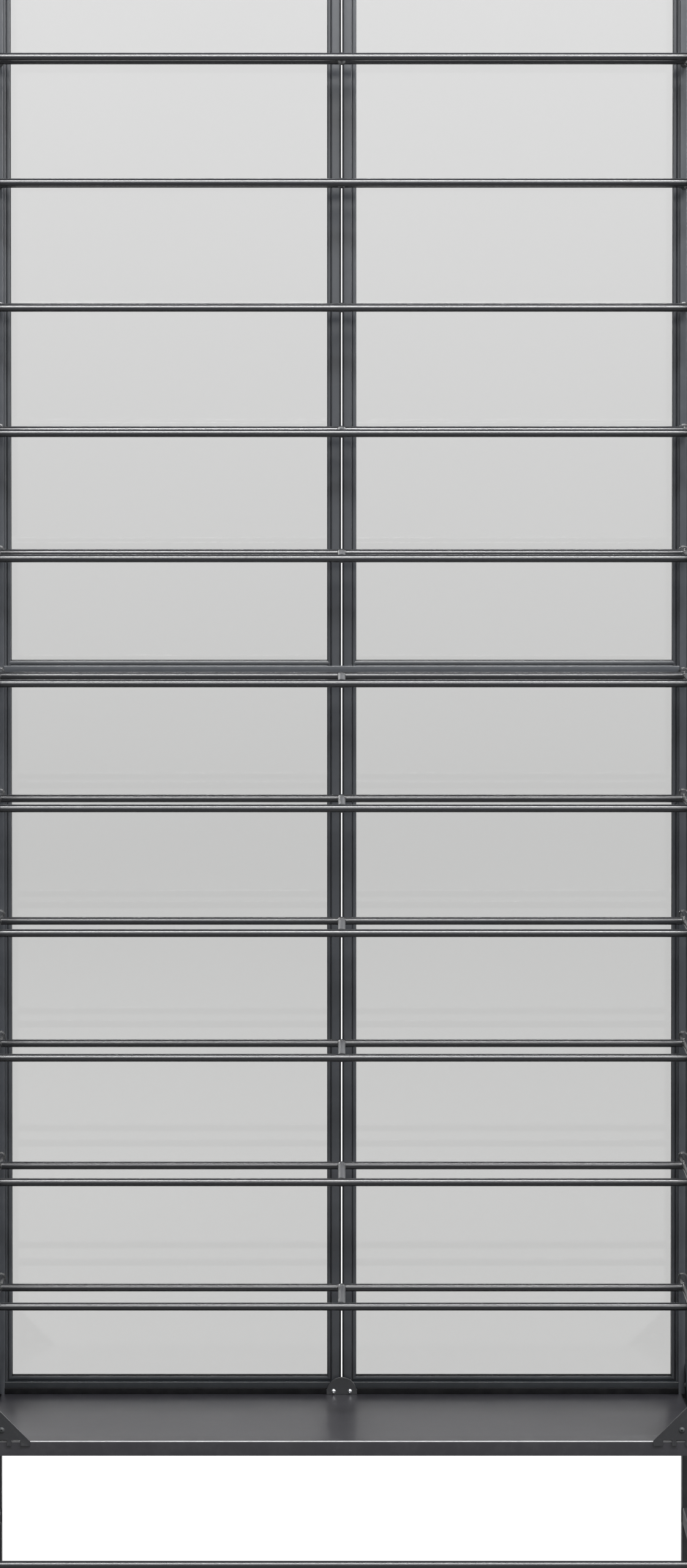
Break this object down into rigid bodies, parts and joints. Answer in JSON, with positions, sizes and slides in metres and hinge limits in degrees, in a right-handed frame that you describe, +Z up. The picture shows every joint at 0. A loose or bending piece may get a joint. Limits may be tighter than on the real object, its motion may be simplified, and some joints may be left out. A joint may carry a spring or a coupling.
{
  "type": "window security bar",
  "caption": "Box-shaped window guard: rows of round bars on a post frame, a sheet sill tray below them, and a pair of hinged glazed leaves behind.",
  "frame": {"origin": "on the floor, in the middle of the guard's footprint", "axes": "+X to the right seen from outside, +Y from the bars towards the room, +Z up"},
  "size_m": [0.884, 0.2568, 2.063],
  "materials": {
    "frame_paint": "satin charcoal powder coat",
    "bar_paint": "semi-gloss charcoal powder coat",
    "strip_paint": "satin blue-grey powder coat",
    "leaf_paint": "semi-gloss blue-grey powder coat",
    "tray_paint": "satin grey powder coat on sheet",
    "zinc": "zinc plated",
    "black_plastic": "matt black",
    "glass": "lightly tinted clear glass"
  },
  "bodies": {
    "guard": {"front_post_left": "frame_paint", "front_post_right": "frame_paint", "rear_post_left": "frame_paint", "rear_post_right": "frame_paint", "top_rail_front": "frame_paint", "top_rail_rear": "frame_paint", "top_rail_left": "frame_paint", "top_rail_right": "frame_paint", "tray_rail_left": "frame_paint", "tray_rail_right": "frame_paint", "tray_rail_rear": "frame_paint", "base_rails": "frame_paint", "gusset_left": "frame_paint", "gusset_right": "frame_paint", "rear_gussets": "frame_paint", "corner_cleats": "frame_paint", "keeper_plate": "frame_paint", "front_bar_01": "bar_paint", "front_bar_02": "bar_paint", "front_bar_03": "bar_paint", "front_bar_04": "bar_paint", "front_bar_05": "bar_paint", "front_bar_06": "bar_paint", "front_bar_07": "bar_paint", "front_bar_08": "bar_paint", "front_bar_09": "bar_paint", "front_bar_10": "bar_paint", "front_bar_11": "bar_paint", "inner_bars": "bar_paint", "base_bar": "bar_paint", "centre_ties": "bar_paint", "side_ties_left": "bar_paint", "side_ties_right": "bar_paint", "jamb_left": "strip_paint", "jamb_right": "strip_paint", "frame_head": "strip_paint", "frame_sill": "strip_paint", "frame_transom": "strip_paint", "sill_tray": "tray_paint", "post_feet": "black_plastic", "post_caps": "black_plastic", "gusset_bolts": "zinc", "gusset_nuts": "zinc", "keeper_screws": "zinc", "hinge_pins": "zinc", "post_hinge_flaps": "zinc"},
    "left_leaf": {"left_hinge_stile": "leaf_paint", "left_meeting_stile": "leaf_paint", "left_top_rail": "leaf_paint", "left_mid_rail": "leaf_paint", "left_bottom_rail": "leaf_paint", "left_glass_panes": "glass", "left_hinge_flaps": "zinc"},
    "right_leaf": {"right_hinge_stile": "leaf_paint", "right_meeting_stile": "leaf_paint", "right_top_rail": "leaf_paint", "right_mid_rail": "leaf_paint", "right_bottom_rail": "leaf_paint", "right_glass_panes": "glass", "right_hinge_flaps": "zinc"}
  },
  "joints": [
    {"name": "left_leaf", "type": "hinge", "parent": "guard", "child": "left_leaf", "pos_m": [-0.4215, 0.1244, 1.15], "axis": [0, 0, 1], "range_deg": [0, 90]},
    {"name": "right_leaf", "type": "hinge", "parent": "guard", "child": "right_leaf", "pos_m": [0.4215, 0.1244, 1.15], "axis": [0, 0, -1], "range_deg": [0, 90]}
  ]
}
